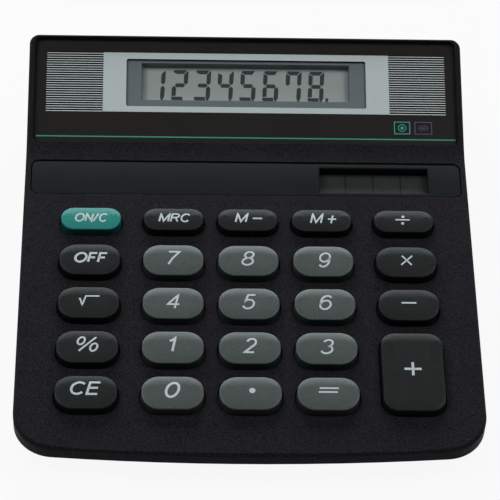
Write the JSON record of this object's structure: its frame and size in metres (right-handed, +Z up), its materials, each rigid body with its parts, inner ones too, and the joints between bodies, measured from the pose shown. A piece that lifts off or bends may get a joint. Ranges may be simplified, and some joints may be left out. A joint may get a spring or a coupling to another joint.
{
  "type": "desktop calculator",
  "caption": "Wedge-shaped desktop calculator with a sloping key deck, a band with a solar window and a steeper display head under a printed lens.",
  "frame": {"origin": "on the desk, under the middle of the body's plan", "axes": "+X to the user's right, +Y from the user to the rear edge, +Z up; the deck rises 6 degrees to the rear"},
  "size_m": [0.1204, 0.128, 0.0321],
  "materials": {
    "housing": "fine moulded texture",
    "trim": "fine moulded texture",
    "lens": "polished, printed behind",
    "bezel": "satin",
    "white_plastic": "moulded",
    "film": "grey polarising film",
    "glass": "clear",
    "ribbon": "printed film",
    "solar": "amorphous cell behind glass",
    "board": "solder mask",
    "keypad_rubber": "silicone",
    "foot_rubber": "matt",
    "epoxy": "moulded",
    "sleeve": "shrink sleeve",
    "steel": "nickel plated",
    "lead_red": "insulation",
    "lead_black": "insulation",
    "key_grey": "satin",
    "key_dark": "satin",
    "key_teal": "satin"
  },
  "bodies": {
    "case": {"battery_cell": "steel", "battery_contact_minus": "steel", "battery_contact_plus": "steel", "battery_lead_black": "lead_black", "battery_lead_red": "lead_red", "bottom_housing": "housing", "capacitor": "sleeve", "display_lens": "lens", "display_ribbon": "ribbon", "housing_screws": "steel", "lcd_bezel": "bezel", "lcd_clamp": "white_plastic", "lcd_front_glass": "glass", "lcd_polariser": "film", "lcd_rear_glass": "glass", "lcd_reflector": "film", "main_board": "board", "processor_chip": "epoxy", "resistors": "epoxy", "rubber_feet": "foot_rubber", "rubber_keypad": "keypad_rubber", "solar_cell": "solar", "solar_lead_black": "lead_black", "solar_lead_red": "lead_red", "solar_trim": "trim", "top_housing": "housing", "voltage_clamp": "epoxy"},
    "key_0": {"key_0": "key_grey"},
    "key_1": {"key_1": "key_grey"},
    "key_2": {"key_2": "key_grey"},
    "key_3": {"key_3": "key_grey"},
    "key_4": {"key_4": "key_grey"},
    "key_5": {"key_5": "key_grey"},
    "key_6": {"key_6": "key_grey"},
    "key_7": {"key_7": "key_grey"},
    "key_8": {"key_8": "key_grey"},
    "key_9": {"key_9": "key_grey"},
    "key_ce": {"key_ce": "key_dark"},
    "key_divide": {"key_divide": "key_dark"},
    "key_equals": {"key_equals": "key_grey"},
    "key_memory_minus": {"key_memory_minus": "key_dark"},
    "key_memory_plus": {"key_memory_plus": "key_dark"},
    "key_memory_recall": {"key_memory_recall": "key_dark"},
    "key_minus": {"key_minus": "key_dark"},
    "key_off": {"key_off": "key_dark"},
    "key_on_clear": {"key_on_clear": "key_teal"},
    "key_percent": {"key_percent": "key_dark"},
    "key_plus": {"key_plus": "key_dark"},
    "key_point": {"key_point": "key_grey"},
    "key_root": {"key_root": "key_dark"},
    "key_times": {"key_times": "key_dark"},
    "battery_door": {"battery_door": "housing"}
  },
  "joints": [
    {"name": "press_0", "type": "slide", "parent": "case", "child": "key_0", "axis": [0, 0.1045, -0.9945], "range_m": [0, 0.0012], "stiffness_N_per_m": 500, "springref_m": -0.0004, "deforming": ["rubber_keypad"]},
    {"name": "press_1", "type": "slide", "parent": "case", "child": "key_1", "axis": [0, 0.1045, -0.9945], "range_m": [0, 0.0012], "stiffness_N_per_m": 500, "springref_m": -0.0004, "deforming": ["rubber_keypad"]},
    {"name": "press_2", "type": "slide", "parent": "case", "child": "key_2", "axis": [0, 0.1045, -0.9945], "range_m": [0, 0.0012], "stiffness_N_per_m": 500, "springref_m": -0.0004, "deforming": ["rubber_keypad"]},
    {"name": "press_3", "type": "slide", "parent": "case", "child": "key_3", "axis": [0, 0.1045, -0.9945], "range_m": [0, 0.0012], "stiffness_N_per_m": 500, "springref_m": -0.0004, "deforming": ["rubber_keypad"]},
    {"name": "press_4", "type": "slide", "parent": "case", "child": "key_4", "axis": [0, 0.1045, -0.9945], "range_m": [0, 0.0012], "stiffness_N_per_m": 500, "springref_m": -0.0004, "deforming": ["rubber_keypad"]},
    {"name": "press_5", "type": "slide", "parent": "case", "child": "key_5", "axis": [0, 0.1045, -0.9945], "range_m": [0, 0.0012], "stiffness_N_per_m": 500, "springref_m": -0.0004, "deforming": ["rubber_keypad"]},
    {"name": "press_6", "type": "slide", "parent": "case", "child": "key_6", "axis": [0, 0.1045, -0.9945], "range_m": [0, 0.0012], "stiffness_N_per_m": 500, "springref_m": -0.0004, "deforming": ["rubber_keypad"]},
    {"name": "press_7", "type": "slide", "parent": "case", "child": "key_7", "axis": [0, 0.1045, -0.9945], "range_m": [0, 0.0012], "stiffness_N_per_m": 500, "springref_m": -0.0004, "deforming": ["rubber_keypad"]},
    {"name": "press_8", "type": "slide", "parent": "case", "child": "key_8", "axis": [0, 0.1045, -0.9945], "range_m": [0, 0.0012], "stiffness_N_per_m": 500, "springref_m": -0.0004, "deforming": ["rubber_keypad"]},
    {"name": "press_9", "type": "slide", "parent": "case", "child": "key_9", "axis": [0, 0.1045, -0.9945], "range_m": [0, 0.0012], "stiffness_N_per_m": 500, "springref_m": -0.0004, "deforming": ["rubber_keypad"]},
    {"name": "press_ce", "type": "slide", "parent": "case", "child": "key_ce", "axis": [0, 0.1045, -0.9945], "range_m": [0, 0.0012], "stiffness_N_per_m": 500, "springref_m": -0.0004, "deforming": ["rubber_keypad"]},
    {"name": "press_divide", "type": "slide", "parent": "case", "child": "key_divide", "axis": [0, 0.1045, -0.9945], "range_m": [0, 0.0012], "stiffness_N_per_m": 500, "springref_m": -0.0004, "deforming": ["rubber_keypad"]},
    {"name": "press_equals", "type": "slide", "parent": "case", "child": "key_equals", "axis": [0, 0.1045, -0.9945], "range_m": [0, 0.0012], "stiffness_N_per_m": 500, "springref_m": -0.0004, "deforming": ["rubber_keypad"]},
    {"name": "press_memory_minus", "type": "slide", "parent": "case", "child": "key_memory_minus", "axis": [0, 0.1045, -0.9945], "range_m": [0, 0.0012], "stiffness_N_per_m": 500, "springref_m": -0.0004, "deforming": ["rubber_keypad"]},
    {"name": "press_memory_plus", "type": "slide", "parent": "case", "child": "key_memory_plus", "axis": [0, 0.1045, -0.9945], "range_m": [0, 0.0012], "stiffness_N_per_m": 500, "springref_m": -0.0004, "deforming": ["rubber_keypad"]},
    {"name": "press_memory_recall", "type": "slide", "parent": "case", "child": "key_memory_recall", "axis": [0, 0.1045, -0.9945], "range_m": [0, 0.0012], "stiffness_N_per_m": 500, "springref_m": -0.0004, "deforming": ["rubber_keypad"]},
    {"name": "press_minus", "type": "slide", "parent": "case", "child": "key_minus", "axis": [0, 0.1045, -0.9945], "range_m": [0, 0.0012], "stiffness_N_per_m": 500, "springref_m": -0.0004, "deforming": ["rubber_keypad"]},
    {"name": "press_off", "type": "slide", "parent": "case", "child": "key_off", "axis": [0, 0.1045, -0.9945], "range_m": [0, 0.0012], "stiffness_N_per_m": 500, "springref_m": -0.0004, "deforming": ["rubber_keypad"]},
    {"name": "press_on_clear", "type": "slide", "parent": "case", "child": "key_on_clear", "axis": [0, 0.1045, -0.9945], "range_m": [0, 0.0012], "stiffness_N_per_m": 500, "springref_m": -0.0004, "deforming": ["rubber_keypad"]},
    {"name": "press_percent", "type": "slide", "parent": "case", "child": "key_percent", "axis": [0, 0.1045, -0.9945], "range_m": [0, 0.0012], "stiffness_N_per_m": 500, "springref_m": -0.0004, "deforming": ["rubber_keypad"]},
    {"name": "press_plus", "type": "slide", "parent": "case", "child": "key_plus", "axis": [0, 0.1045, -0.9945], "range_m": [0, 0.0012], "stiffness_N_per_m": 500, "springref_m": -0.0004, "deforming": ["rubber_keypad"]},
    {"name": "press_point", "type": "slide", "parent": "case", "child": "key_point", "axis": [0, 0.1045, -0.9945], "range_m": [0, 0.0012], "stiffness_N_per_m": 500, "springref_m": -0.0004, "deforming": ["rubber_keypad"]},
    {"name": "press_root", "type": "slide", "parent": "case", "child": "key_root", "axis": [0, 0.1045, -0.9945], "range_m": [0, 0.0012], "stiffness_N_per_m": 500, "springref_m": -0.0004, "deforming": ["rubber_keypad"]},
    {"name": "press_times", "type": "slide", "parent": "case", "child": "key_times", "axis": [0, 0.1045, -0.9945], "range_m": [0, 0.0012], "stiffness_N_per_m": 500, "springref_m": -0.0004, "deforming": ["rubber_keypad"]},
    {"name": "battery_door_slide", "type": "slide", "parent": "case", "child": "battery_door", "axis": [0, 1, 0], "range_m": [0, 0.0285]}
  ]
}
